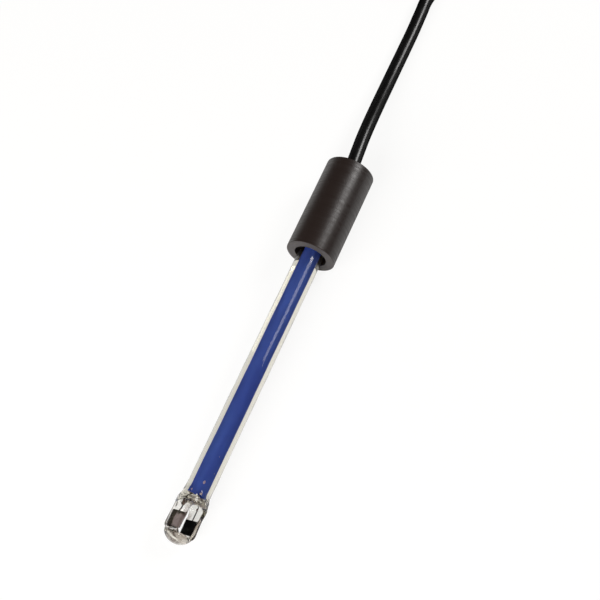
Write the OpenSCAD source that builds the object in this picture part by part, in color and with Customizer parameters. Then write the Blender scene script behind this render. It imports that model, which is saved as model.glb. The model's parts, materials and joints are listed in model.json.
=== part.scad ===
/* [Glass stem] */
// Outside diameter of the stem
stem_d = 12; // [10:0.1:13]
// Bore that the resin fills
stem_bore_d = 5.3; // [4.8:0.1:6.4]
// Length of the cell from the tip to the cap's lower face
stem_len = 147.5; // [110:0.5:200]

/* [Cage head] */
// How far the blown head stands out beyond the stem all round
head_swell = 1.4; // [1:0.1:2.4]
// Wall of the cage
cage_wall = 1.85; // [1.5:0.05:2.2]
// Height of the chamber's ceiling above the tip
chamber_top = 19.2; // [17:0.1:22]
// Rounding of the chamber's ceiling
ceiling_round = 3.2; // [2:0.1:4]
// How far the chamber's rounded floor drops below the plates
floor_drop = 2; // [1.4:0.1:2.4]
// Glass between the chamber and the resin
septum = 1.8; // [1.2:0.1:3]
// Length of the shoulder where the head draws down to the stem
shoulder_len = 8; // [5:0.5:12]
// Height of both windows' sills above the chamber's floor
window_sill = 0.4; // [0.2:0.1:1]
// How far both windows end below the chamber's ceiling
window_drop = 0.5; // [0.3:0.1:2]
// Rounding of the windows' corners
window_round = 3; // [1:0.1:4]
// Half of the angle that each arm of the cage covers
arm_half_angle = 34; // [28:1:40]

/* [Electrodes] */
// Width of each plate, across the arm
plate_w = 6.2; // [5:0.1:6.2]
// Length of each plate, along the cell
plate_len = 6.7; // [5:0.1:8]
// Thickness of each plate
plate_t = 0.3; // [0.2:0.05:0.5]
// Lower edge of both plates above the tip
plate_low = 5.8; // [5.2:0.1:7]
// Diameter of the platinum lead wires
lead_d = 0.5; // [0.4:0.05:0.6]
// Diameter of the weld bead on each plate's back
weld_d = 0.9; // [0.7:0.05:1]
// How far the lead overlaps the plate's back
weld_lap = 1.3; // [0.8:0.1:2]

/* [Cap] */
// Outside diameter of the turned cap
cap_d = 24; // [20:0.5:30]
// Length of the cap
cap_len = 50; // [40:1:65]
// Broken edge on the cap's two rims
cap_edge = 0.4; // [0.2:0.05:1]
// Space round the stem in the counterbore of the cap's lower face
recess_gap = 1.8; // [1.6:0.1:2.6]
// Depth of that counterbore
recess_depth = 6; // [4:0.5:9]
// Length of the chamber above the stem, where the cable's cores come in
joint_len = 13; // [11:0.5:16]
// Space round the cable's ferrule in that chamber
joint_gap = 0.25; // [0.2:0.05:1]
// Thickness of the cap's top wall
cap_top = 5; // [4:0.5:8]
// Thickness of the cement round the seated stem
cement_t = 0.25; // [0.15:0.05:0.5]

/* [Leads and cable] */
// Outside diameter of the cable's jacket
cable_d = 7; // [6:0.1:7.6]
// Outside diameter of each insulated core
core_d = 1.5; // [1.2:0.1:1.6]
// Distance from the cell's axis to each core
core_offset = 1.3; // [1.1:0.05:1.4]
// Outside diameter of the crimped splices
splice_d = 1.7; // [1.5:0.05:1.8]
// Length of the crimped splices
splice_len = 8; // [6:0.5:12]
// Height of the splices above the tip
splice_at = 38; // [32:1:60]
// Wall of the ferrule on the jacket inside the cap
ferrule_wall = 0.7; // [0.5:0.05:0.8]
// Length of that ferrule
ferrule_len = 3; // [2:0.5:4]

/* [Plug] */
// Outside diameter of the plug's shell
shell_d = 13.2; // [12:0.1:15]
// Sheet thickness of the shell
shell_t = 0.4; // [0.3:0.05:0.6]
// Length of the shell that goes into a socket
shell_reach = 9; // [7:0.5:12]
// Wall of the plug's grip outside the shell
grip_wall = 1.2; // [0.8:0.1:2]
// Length of the grip
grip_len = 24; // [20:1:30]
// Length of the rubber boot behind the grip
boot_len = 22; // [16:1:30]
// Wall of the boot's thin end round the cable
boot_wall = 1; // [0.8:0.1:1.4]
// How much smaller the boot's thick end is than the shell, all round
boot_inset = 0.6; // [0.4:0.1:1]
// Diameter of each contact pin
pin_d = 1.45; // [1.2:0.05:1.6]
// Diameter of the circle that the pins stand on
pin_circle = 7; // [6:0.1:8]
// Number of pins
pin_count = 5; // [3:1:5]

/* [Clearances] */
// Gap round leads sealed in glass or resin
seal_gap = 0.03; // [0.02:0.01:0.05]
// Gap between pieces that are pressed or glued together
seat_gap = 0.05; // [0.03:0.01:0.08]
// Gap between the cable and each hole that it passes
cable_gap = 0.15; // [0.12:0.01:0.25]

/* [Hidden] */
$fn = 64;

// The cell is described along its own axis: height 0 at the tip, rising to the cap.
stem_r = stem_d / 2;
bore_r = stem_bore_d / 2;
head_r = stem_r + head_swell;
chamber_r = head_r - cage_wall;
resin_low = chamber_top + septum;
shoulder_above = 3;
shoulder_top = resin_low + shoulder_above;
shoulder_low = shoulder_top - shoulder_len;
cap_r = cap_d / 2;
cap_high = stem_len + cap_len;
recess_r = stem_r + recess_gap;
glass_top = cap_high - cap_top - joint_len;
joint_low = glass_top + seat_gap;
joint_high = cap_high - cap_top;
far = 2 * cap_high;
arc_steps = 10;
round_steps = 6;

// Plates sit on chords of the chamber, with the corners of their backs against its wall.
plate_out = sqrt(pow(chamber_r - seat_gap, 2) - pow(plate_w / 2, 2));
plate_in = plate_out - plate_t;
plate_high = plate_low + plate_len;
chamber_low = plate_low - floor_drop;
window_low = chamber_low + window_sill;
window_high = chamber_top - window_drop;
plate_colour = [0.07, 0.07, 0.08];

// Each lead runs up behind its plate, then slants through the septum into the resin.
lead_r = lead_d / 2;
lead_x = plate_out + lead_r;
lead_low = plate_high - weld_lap;
lead_bend = chamber_top - 0.2;
lead_enter = resin_low + 1.5;
splice_hold = splice_len / 2 - 0.5;
splice_top = splice_at + splice_len;

// The cable's jacket ends inside the cap, gripped by a ferrule under the top wall.
cable_r = cable_d / 2;
jacket_past = 1;
ferrule_high = joint_high - seat_gap;
ferrule_low = ferrule_high - ferrule_len;
cable_end = ferrule_low - jacket_past;
resin_top = cable_end - 1.5;
joint_r = cable_r + seat_gap + ferrule_wall + joint_gap;
cable_colour = [0.06, 0.06, 0.06];

// At rest the cell lies on the rim of its cap and on its head.
lie_span = stem_len - head_r;
lie_tilt = atan2(cap_r, lie_span) - asin(head_r / norm([cap_r, lie_span]));
lie_low = head_r * (cos(lie_tilt) - 1);
lie_high = cap_high * cos(lie_tilt) + (cap_r - cap_edge) * sin(lie_tilt);
tip_y = -(lie_low + lie_high) / 2;
tip_height = head_r * (1 - sin(lie_tilt));
plate_roll = 61;

// Cable route in the lying position: out of the cap, down to the surface, then straight on.
// Each point has its x, its distance from the cap's top and the share of the drop still left.
floor_z = cable_r + 0.1;
exit_y = tip_y + cap_high * cos(lie_tilt);
exit_z = tip_height + cap_high * sin(lie_tilt);
jacket_in = cap_high - cable_end;
route_plan = [
    [0, 0, 1], [-0.6, 6.5, 1.01], [-1.2, 13.5, 0.99], [-1.9, 21.5, 0.92],
    [-2.5, 30.5, 0.8], [-3.1, 40.5, 0.62], [-3.7, 51.5, 0.41], [-4.2, 63.5, 0.22], [-4.6, 76.5, 0.08],
    [-4.8, 89.5, 0.02], [-5, 102.5, 0], [-5.4, 114.5, 0], [-5.5, 126.5, 0]
];
route_start = [0, exit_y - jacket_in * cos(lie_tilt), exit_z - jacket_in * sin(lie_tilt)];
route = concat(
    [route_start],
    [for (p = route_plan) [p[0], exit_y + p[1], floor_z + p[2] * (exit_z - floor_z)]]
);
route_end = route[len(route) - 1];

// The spare cable is folded into a flat hank whose runs lie in line with the cell.
// Its lower level has two turns side by side, its upper level one run on their meeting line.
hank_slack = 0.1;
hank_x = -25;
hank_run = 80;
hank_bend = 3 * cable_d;
hank_in = hank_bend - cable_r - hank_slack;
hank_out = hank_bend + 1.5 * cable_d + hank_slack;
hank_top_bend = hank_bend + cable_r;
hank_low_top = cable_d - 0.4;
hank_high_top = 2 * cable_d - 0.6;
hank_near = route_end[1] + hank_out - 1;
hank_far = hank_near + hank_run;
entry_angle = -30;
entry_bend = hank_bend + cable_d;
hank_entry = [hank_x + entry_bend * cos(entry_angle), hank_near + entry_bend * sin(entry_angle), floor_z];
joint_in_cable = 0.05;

// Ties round the hank, each wrapped round one side's runs, which it lifts off the surface.
tie_w = 4;
tie_t = 0.8;
tie_base = 0.1;
tie_lift = tie_base + tie_t + 0.2;
tie_play = 0.3;
tie_a_y = hank_near + 34;
tie_b_y = hank_far - 10;

// The plug, described along its own axis from the boot's thin end forwards.
shell_r = shell_d / 2;
grip_r = shell_r + grip_wall;
grip_low = boot_len;
grip_high = grip_low + grip_len;
grip_edge = 0.8;
boot_thin_r = cable_r + boot_wall;
boot_thick_r = shell_r - boot_inset;
boot_in_grip = 3;
boot_edge = 0.5;
boot_straight = 2;
groove_count = 4;
groove_first = 3;
groove_step = 3.6;
groove_w = 1.3;
groove_deep = 0.35;
shell_low = grip_low + boot_in_grip;
shell_high = grip_high + shell_reach;
key_w = 2;
key_len = 4;
insert_len = 6;
insert_high = shell_high - 5;
pin_stand = 4;
pin_back = 2;
pin_point = 0.5;
clamp_len = 7;
clamp_low = shell_low + 1;
clamp_high = clamp_low + clamp_len;
clamp_slot = 2.4;

// The tail climbs off the hank's upper turn into the plug, which lies along the left runs.
// Each point has its distance behind the hank's far centre and the share of the climb done.
plug_x = hank_x - hank_top_bend;
plug_z = hank_low_top + grip_r + seat_gap;
boot_start = hank_far - 27;
upper_z = hank_low_top + floor_z;
tail_plan = [
    [0.1, 0], [4, 0.02], [8, 0.2], [13, 0.52], [18, 0.82], [23, 0.98], [29, 1], [39, 1]
];
tail_end = [plug_x, boot_start - clamp_high - jacket_past, plug_z];
tail = concat(
    [for (p = tail_plan) [plug_x, hank_far - p[0], upper_z + p[1] * (plug_z - upper_z)]],
    [tail_end]
);
tail_side = [for (p = tail) [p[1], p[2]]];
tube_sides = 10;

// Helpers
function arc(c, r, from, to, n = arc_steps) = [
    for (i = [0:n]) let (a = from + (to - from) * i / n) c + r * [cos(a), sin(a)]
];
function unit(v) = v / norm(v);
function heading(p, i) =
    i == 0 ? unit(p[1] - p[0])
    : i == len(p) - 1 ? unit(p[i] - p[i - 1])
    : unit(unit(p[i + 1] - p[i]) + unit(p[i] - p[i - 1]));
function side_of(t) = unit(cross(t, [0, 0, 1]));
function ring(c, t, r, n) = let (u = side_of(t), v = cross(u, t)) [
    for (k = [0:n - 1]) c + r * (cos(360 * k / n) * u + sin(360 * k / n) * v)
];

// A closed tube of flat sides through a list of points.
module swept(points, r, last_heading = undef) {
    n = tube_sides;
    m = len(points);
    rings = [
        for (i = [0:m - 1])
            let (t = i == m - 1 && !is_undef(last_heading) ? last_heading : heading(points, i))
                ring(points[i], t, r, n)
    ];
    polyhedron(
        points = [for (one = rings) for (p = one) p],
        faces = concat(
            [[for (k = [0:n - 1]) k]],
            [
                for (i = [0:m - 2]) for (k = [0:n - 1])
                    let (a = i * n + k, b = i * n + (k + 1) % n) [a, a + n, b + n, b]
            ],
            [[for (k = [n - 1:-1:0]) (m - 1) * n + k]]
        ),
        convexity = 10
    );
}

// A tube about the cell's axis between two heights.
module tube(outer, inner, low, high) {
    translate([0, 0, low]) difference() {
        cylinder(r = outer, h = high - low);
        translate([0, 0, -1]) cylinder(r = inner, h = high - low + 2);
    }
}

// Puts the upright cell into its lying position, centred over the origin.
module lay_down() {
    translate([0, tip_y, tip_height])
        rotate([lie_tilt - 90, 0, 0])
            rotate([0, 0, plate_roll])
                children();
}

// The two leads and plates are the same, half a turn apart.
module on_side(side) {
    rotate([0, 0, side * 180]) children();
}

// The centre line of one platinum lead, from the weld to the splice, thickened by some margin.
module lead_path(margin) {
    r = lead_r + margin;
    low = [lead_x, 0, lead_low - margin];
    bend = [lead_x, 0, lead_bend];
    enter = [core_offset, 0, lead_enter];
    top = [core_offset, 0, splice_at + splice_hold];
    translate(low) cylinder(r = r, h = bend[2] - low[2]);
    translate(bend) sphere(r = r);
    slant = enter - bend;
    translate(bend) rotate([0, atan2(slant[0], slant[2]), 0]) cylinder(r = r, h = norm(slant));
    translate(enter) sphere(r = r);
    translate(enter) cylinder(r = r, h = top[2] - enter[2]);
}

// The outer profile of the glass, as one revolved outline.
module glass_outline() {
    shoulder = [
        for (i = [0:arc_steps])
            let (a = 180 * i / arc_steps)
                [stem_r + (head_r - stem_r) * (1 + cos(a)) / 2, shoulder_low + shoulder_len * i / arc_steps]
    ];
    rotate_extrude() polygon(concat(
        [[0, 0]],
        [for (i = [1:arc_steps]) head_r * [sin(90 * i / arc_steps), 1 - cos(90 * i / arc_steps)]],
        shoulder,
        [[stem_r, glass_top], [0, glass_top]]
    ));
}

// The measuring chamber between the arms, with its rounded floor and ceiling.
module chamber() {
    rotate_extrude() polygon(concat(
        [[0, chamber_low]],
        arc([chamber_r - floor_drop, plate_low], floor_drop, -90, 0, round_steps),
        arc([chamber_r - ceiling_round, chamber_top - ceiling_round], ceiling_round, 0, 90, round_steps),
        [[0, chamber_top]]
    ));
}

// One window: the wedge between the arms, limited by a round-cornered outline.
module window() {
    open_half = 90 - arm_half_angle;
    reach = 2 * head_r;
    half = head_r * sin(open_half) + 0.5;
    intersection() {
        linear_extrude(height = chamber_top + septum) polygon([
            [0, 0],
            reach * [-sin(open_half), cos(open_half)],
            [0, 2 * reach],
            reach * [sin(open_half), cos(open_half)]
        ]);
        rotate([90, 0, 180]) linear_extrude(height = 2 * reach) round_slot(half, window_low, window_high);
    }
}

// An upright outline with round corners.
module round_slot(half, low, high) {
    r = window_round;
    translate([-half, low + r]) square([2 * half, high - low - 2 * r]);
    translate([-half + r, low]) square([2 * half - 2 * r, high - low]);
    for (x = [-half + r, half - r], y = [low + r, high - r]) translate([x, y]) circle(r = r);
}

module glass_body() {
    color([0.86, 0.9, 0.9, 0.35]) lay_down() difference() {
        glass_outline();
        chamber();
        for (side = [0, 1]) on_side(side) window();
        translate([0, 0, resin_low]) cylinder(r = bore_r, h = far);
        for (side = [0, 1]) on_side(side) lead_path(seal_gap);
    }
}

module electrode(side) {
    color(plate_colour) lay_down() on_side(side)
        translate([plate_in, -plate_w / 2, plate_low]) cube([plate_t, plate_w, plate_len]);
}

module lead_wire(side) {
    color([0.75, 0.74, 0.72]) lay_down() on_side(side) difference() {
        union() {
            lead_path(0);
            translate([plate_out, 0, lead_low + weld_d / 2]) sphere(r = weld_d / 2);
        }
        translate([0, -plate_w / 2, plate_low]) cube([plate_out, plate_w, plate_len]);
    }
}

module splice(side) {
    color([0.72, 0.7, 0.66]) lay_down() on_side(side) translate([core_offset, 0, 0])
        tube(splice_d / 2, lead_r + seal_gap, splice_at, splice_top);
}

module core_wire(side) {
    color(side == 0 ? [0.75, 0.1, 0.08] : [0.93, 0.92, 0.88]) lay_down() on_side(side)
        translate([core_offset, 0, 0]) {
            translate([0, 0, splice_top + seal_gap])
                cylinder(r = core_d / 2, h = cable_end - splice_top - 2 * seal_gap);
            translate([0, 0, splice_top - splice_hold]) cylinder(r = lead_r, h = splice_hold + 1);
        }
}

module resin_fill() {
    color([0.16, 0.24, 0.62]) lay_down() difference() {
        union() {
            translate([0, 0, resin_low + seat_gap])
                cylinder(r = bore_r - seal_gap, h = joint_low - resin_low);
            translate([0, 0, joint_low]) cylinder(r = joint_r - seat_gap, h = resin_top - joint_low);
        }
        for (side = [0, 1]) on_side(side) {
            lead_path(seal_gap);
            translate([core_offset, 0, splice_at - seal_gap])
                cylinder(r = splice_d / 2 + seal_gap, h = splice_len + 2 * seal_gap);
            translate([core_offset, 0, splice_top]) cylinder(r = core_d / 2 + seal_gap, h = far);
        }
    }
}

module cap() {
    seat_r = stem_r + cement_t + 2 * seat_gap;
    color([0.13, 0.12, 0.12]) lay_down() difference() {
        translate([0, 0, stem_len]) rotate_extrude() polygon([
            [0, 0], [cap_r - cap_edge, 0], [cap_r, cap_edge],
            [cap_r, cap_len - cap_edge], [cap_r - cap_edge, cap_len], [0, cap_len]
        ]);
        translate([0, 0, stem_len - 1]) cylinder(r = recess_r, h = recess_depth + 1);
        translate([0, 0, stem_len]) cylinder(r = seat_r, h = glass_top - stem_len);
        translate([0, 0, stem_len]) cylinder(r = joint_r, h = joint_high - stem_len);
        translate([0, 0, joint_high - 1]) cylinder(r = cable_r + cable_gap, h = cap_top + 2);
    }
}

module stem_seal() {
    cord_r = recess_gap / 2 - seat_gap;
    color([0.08, 0.08, 0.08]) lay_down()
        translate([0, 0, stem_len + recess_depth - cord_r - seat_gap])
            rotate_extrude() translate([stem_r + recess_gap / 2, 0]) circle(r = cord_r, $fn = 32);
}

module stem_cement() {
    inner = stem_r + seat_gap;
    low = stem_len + recess_depth + seat_gap;
    color([0.78, 0.74, 0.62]) lay_down() tube(inner + cement_t, inner, low, glass_top - seat_gap);
}

module cable_ferrule() {
    inner = cable_r + seat_gap;
    color([0.72, 0.72, 0.74]) lay_down()
        tube(inner + ferrule_wall, inner, ferrule_low, ferrule_high);
}

module cable_run() {
    color(cable_colour) swept(route, cable_r, unit(hank_entry - route_end));
}

// A stadium outline, round ends included, for one level of the hank.
module stadium(r) {
    translate([-r, 0]) square([2 * r, hank_run]);
    circle(r = r);
    translate([0, hank_run]) circle(r = r);
}

// The plan of the upper level: the right run and the far turn.
module upper_half() {
    square([far, hank_run]);
    translate([-far, hank_run]) square([2 * far, far]);
}

module cable_hank() {
    stub = hank_entry - route_end;
    tie_bed = tie_w + 2 * hank_slack;
    color(cable_colour) difference() {
        union() {
            translate([hank_x, hank_near, 0]) {
                linear_extrude(height = hank_low_top) difference() {
                    stadium(hank_out);
                    stadium(hank_in);
                }
                linear_extrude(height = hank_high_top) difference() {
                    intersection() {
                        stadium(hank_top_bend + cable_r);
                        upper_half();
                    }
                    stadium(hank_top_bend - cable_r);
                }
            }
            translate(route_end + joint_in_cable * unit(stub)) rotate([-90, 0, -atan2(stub[0], stub[1])])
                cylinder(r = cable_r, h = norm(stub));
        }
        for (one = [[1, tie_a_y], [-1, tie_b_y]])
            translate([hank_x + one[0] * hank_top_bend - cable_d - 1, one[1] - tie_bed / 2, -1])
                cube([2 * cable_d + 2, tie_bed, tie_lift + 1]);
    }
}

module cable_tail() {
    color(cable_colour) swept(tail, cable_r);
}

// A flat tie bent round the runs of one side, as high as what it holds.
module tie(side, y, top) {
    half = cable_d + tie_play;
    neck = cable_r + 1;
    shoulder = hank_low_top + tie_play;
    color([0.09, 0.09, 0.1]) translate([hank_x + side * hank_top_bend, y + tie_w / 2, 0])
        rotate([90, 0, 0]) linear_extrude(height = tie_w) difference() {
            polygon([
                [-half - tie_t, tie_base], [half + tie_t, tie_base],
                [half + tie_t, shoulder + tie_play], [neck + tie_t, top + tie_t],
                [-neck - tie_t, top + tie_t], [-half - tie_t, shoulder + tie_play]
            ]);
            polygon([
                [-half, tie_base + tie_t], [half, tie_base + tie_t], [half, shoulder],
                [neck, top], [-neck, top], [-half, shoulder]
            ]);
        }
}

module hank_tie_a() {
    tie(1, tie_a_y, hank_high_top + hank_slack);
}

// This one also holds the tail, which climbs under it.
module hank_tie_b() {
    tie(-1, tie_b_y, lookup(tie_b_y - tie_w / 2, tail_side) + cable_r + 2 * tie_play);
}

// Puts a plug piece, described from the boot's thin end forwards, where the plug lies.
module at_plug() {
    translate([plug_x, boot_start, plug_z]) rotate([90, 0, 0]) children();
}

// A ring-shaped groove cut into a round piece from outside.
module groove(inner, low, width) {
    translate([0, 0, low]) difference() {
        cylinder(r = grip_r, h = width);
        translate([0, 0, -1]) cylinder(r = inner, h = width + 2);
    }
}

module plug_boot() {
    taper_high = boot_len - boot_straight;
    top = shell_low - seat_gap;
    color([0.08, 0.08, 0.08]) at_plug() difference() {
        rotate_extrude() polygon([
            [0, 0], [boot_thin_r - boot_edge, 0], [boot_thin_r, boot_edge],
            [boot_thick_r, taper_high], [boot_thick_r, top], [0, top]
        ]);
        translate([0, 0, -1]) cylinder(r = cable_r + cable_gap, h = far);
        for (i = [0:groove_count - 1])
            let (low = groove_first + i * groove_step, share = low / taper_high)
                groove(boot_thin_r + (boot_thick_r - boot_thin_r) * share - groove_deep, low, groove_w);
    }
}

module plug_grip() {
    color([0.09, 0.09, 0.09]) at_plug() difference() {
        rotate_extrude() polygon([
            [0, grip_low + seat_gap], [grip_r - grip_edge, grip_low + seat_gap],
            [grip_r, grip_low + grip_edge], [grip_r, grip_high - grip_edge],
            [grip_r - grip_edge, grip_high], [0, grip_high]
        ]);
        translate([0, 0, grip_low - 1]) cylinder(r = boot_thick_r + seat_gap, h = grip_len);
        translate([0, 0, shell_low - seat_gap]) cylinder(r = shell_r + seat_gap, h = far);
    }
}

module plug_shell() {
    color([0.78, 0.78, 0.8]) at_plug() difference() {
        tube(shell_r, shell_r - shell_t, shell_low, shell_high);
        translate([-key_w / 2, -shell_d, shell_high - key_len]) cube([key_w, shell_d, key_len + 1]);
    }
}

module plug_clamp() {
    outer = shell_r - shell_t - seat_gap;
    color([0.74, 0.74, 0.76]) at_plug() difference() {
        tube(outer, cable_r + cable_gap, clamp_low, clamp_high);
        translate([-clamp_slot / 2, 0, clamp_low - 1]) cube([clamp_slot, outer + 1, clamp_len + 2]);
    }
}

module pin_places() {
    for (i = [0:pin_count - 1]) rotate([0, 0, 180 * i / (pin_count - 1)])
        translate([pin_circle / 2, 0, 0]) children();
}

module plug_insert() {
    color([0.12, 0.11, 0.1]) at_plug() difference() {
        translate([0, 0, insert_high - insert_len])
            cylinder(r = shell_r - shell_t - seat_gap, h = insert_len);
        pin_places() cylinder(d = pin_d + 2 * seal_gap, h = far);
    }
}

module plug_pins() {
    low = insert_high - insert_len - pin_back;
    high = insert_high + pin_stand - pin_point;
    color([0.8, 0.76, 0.6]) at_plug() pin_places() {
        translate([0, 0, low]) cylinder(d = pin_d, h = high - low);
        translate([0, 0, high]) cylinder(r1 = pin_d / 2, r2 = pin_d / 4, h = pin_point);
    }
}

glass_body();
electrode(0);  // electrode_a
electrode(1);  // electrode_b
lead_wire(0);  // lead_wire_a
lead_wire(1);  // lead_wire_b
splice(0);  // splice_a
splice(1);  // splice_b
core_wire(0);  // core_wire_a
core_wire(1);  // core_wire_b
resin_fill();
cap();
stem_seal();
stem_cement();
cable_ferrule();
cable_run();
cable_hank();
cable_tail();
hank_tie_a();
hank_tie_b();
plug_boot();
plug_grip();
plug_shell();
plug_clamp();
plug_insert();
plug_pins();
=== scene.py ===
import json
from math import asin, atan2, cos, hypot, pi, radians, sin

import bmesh
import bpy
from mathutils import Matrix, Vector, noise


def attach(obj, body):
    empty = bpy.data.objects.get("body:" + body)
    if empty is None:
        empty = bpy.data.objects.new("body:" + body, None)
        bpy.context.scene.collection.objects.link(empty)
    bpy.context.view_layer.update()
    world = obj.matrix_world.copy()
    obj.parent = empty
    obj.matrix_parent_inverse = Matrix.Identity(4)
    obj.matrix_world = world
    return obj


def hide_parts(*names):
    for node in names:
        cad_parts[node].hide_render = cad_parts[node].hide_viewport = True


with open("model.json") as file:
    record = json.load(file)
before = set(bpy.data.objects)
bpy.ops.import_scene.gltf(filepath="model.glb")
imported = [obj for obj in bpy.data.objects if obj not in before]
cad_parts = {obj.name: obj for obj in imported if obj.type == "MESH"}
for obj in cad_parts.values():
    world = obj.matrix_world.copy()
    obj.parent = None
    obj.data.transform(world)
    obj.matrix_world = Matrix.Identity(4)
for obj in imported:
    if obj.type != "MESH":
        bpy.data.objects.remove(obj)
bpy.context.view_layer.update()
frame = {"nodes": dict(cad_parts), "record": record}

MM = 0.001

# The cell's sizes in millimetres, as in the part. Heights run along its axis from the tip.
STEM_R, HEAD_R, CAP_R = 6.0, 7.4, 12.0
STEM_LEN, CAP_LEN, CAP_EDGE = 147.5, 50.0, 0.4
CAP_HIGH = STEM_LEN + CAP_LEN
CABLE_R = 3.5
SEAT_GAP = 0.05

# Inside the cap, from its top: the cable's hole, room for the joint, the glass's seat, the recess.
CABLE_HOLE_R = CABLE_R + 0.15
JOINT_HIGH = CAP_HIGH - 5
GLASS_TOP = JOINT_HIGH - 13
JOINT_LOW, JOINT_R = GLASS_TOP + SEAT_GAP, 4.5
SEAT_R = STEM_R + 0.35
RECESS_R, RECESS_DEPTH = STEM_R + 1.8, 6
JACKET_IN = 9.05
RESIN_TOP = CAP_HIGH - JACKET_IN - 1.5

# How the cell lies: on its head and on the rim of its cap, turned about its axis.
TILT = atan2(CAP_R, STEM_LEN - HEAD_R) - asin(HEAD_R / hypot(CAP_R, STEM_LEN - HEAD_R))
TIP_Y = -(HEAD_R * (cos(TILT) - 1) + CAP_HIGH * cos(TILT) + (CAP_R - CAP_EDGE) * sin(TILT)) / 2
TIP_Z = HEAD_R * (1 - sin(TILT))
PLATE_ROLL = radians(61)
LAY = (
    Matrix.Translation(Vector((0, TIP_Y, TIP_Z)) * MM)
    @ Matrix.Rotation(TILT - pi / 2, 4, "X")
    @ Matrix.Rotation(PLATE_ROLL, 4, "Z")
)
EXIT_Y = TIP_Y + CAP_HIGH * cos(TILT)
EXIT_Z = TIP_Z + CAP_HIGH * sin(TILT)


def link(obj):
    bpy.context.scene.collection.objects.link(obj)
    return obj


# Camera: 62 degrees above the surface, 23 degrees round from the cell's axis.
CAMERA_AZIMUTH, CAMERA_HEIGHT = radians(23), radians(62)
CAMERA_PLACE = Vector((107.946, -217.951, 509.233)) * MM
CAMERA_LENS, CAMERA_SENSOR = 73.8, 36


def camera():
    data = bpy.data.cameras.new("camera")
    data.sensor_width = CAMERA_SENSOR
    data.lens = CAMERA_LENS
    data.clip_start, data.clip_end = 0.01, 20
    flat = cos(CAMERA_HEIGHT)
    right = Vector((cos(CAMERA_AZIMUTH), sin(CAMERA_AZIMUTH), 0))
    ahead = Vector((-sin(CAMERA_AZIMUTH) * flat, cos(CAMERA_AZIMUTH) * flat, -sin(CAMERA_HEIGHT)))
    turn = Matrix((right, right.cross(ahead), -ahead)).transposed().to_4x4()
    obj = link(bpy.data.objects.new("camera", data))
    obj.matrix_world = Matrix.Translation(CAMERA_PLACE) @ turn
    return obj


bpy.context.scene.camera = camera()
bpy.context.scene.view_settings.view_transform = "Standard"

# Textures take their places from this empty, whose Z is the cell's axis.
axis_mark = link(bpy.data.objects.new("cell_axis", None))
axis_mark.matrix_world = LAY


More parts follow.
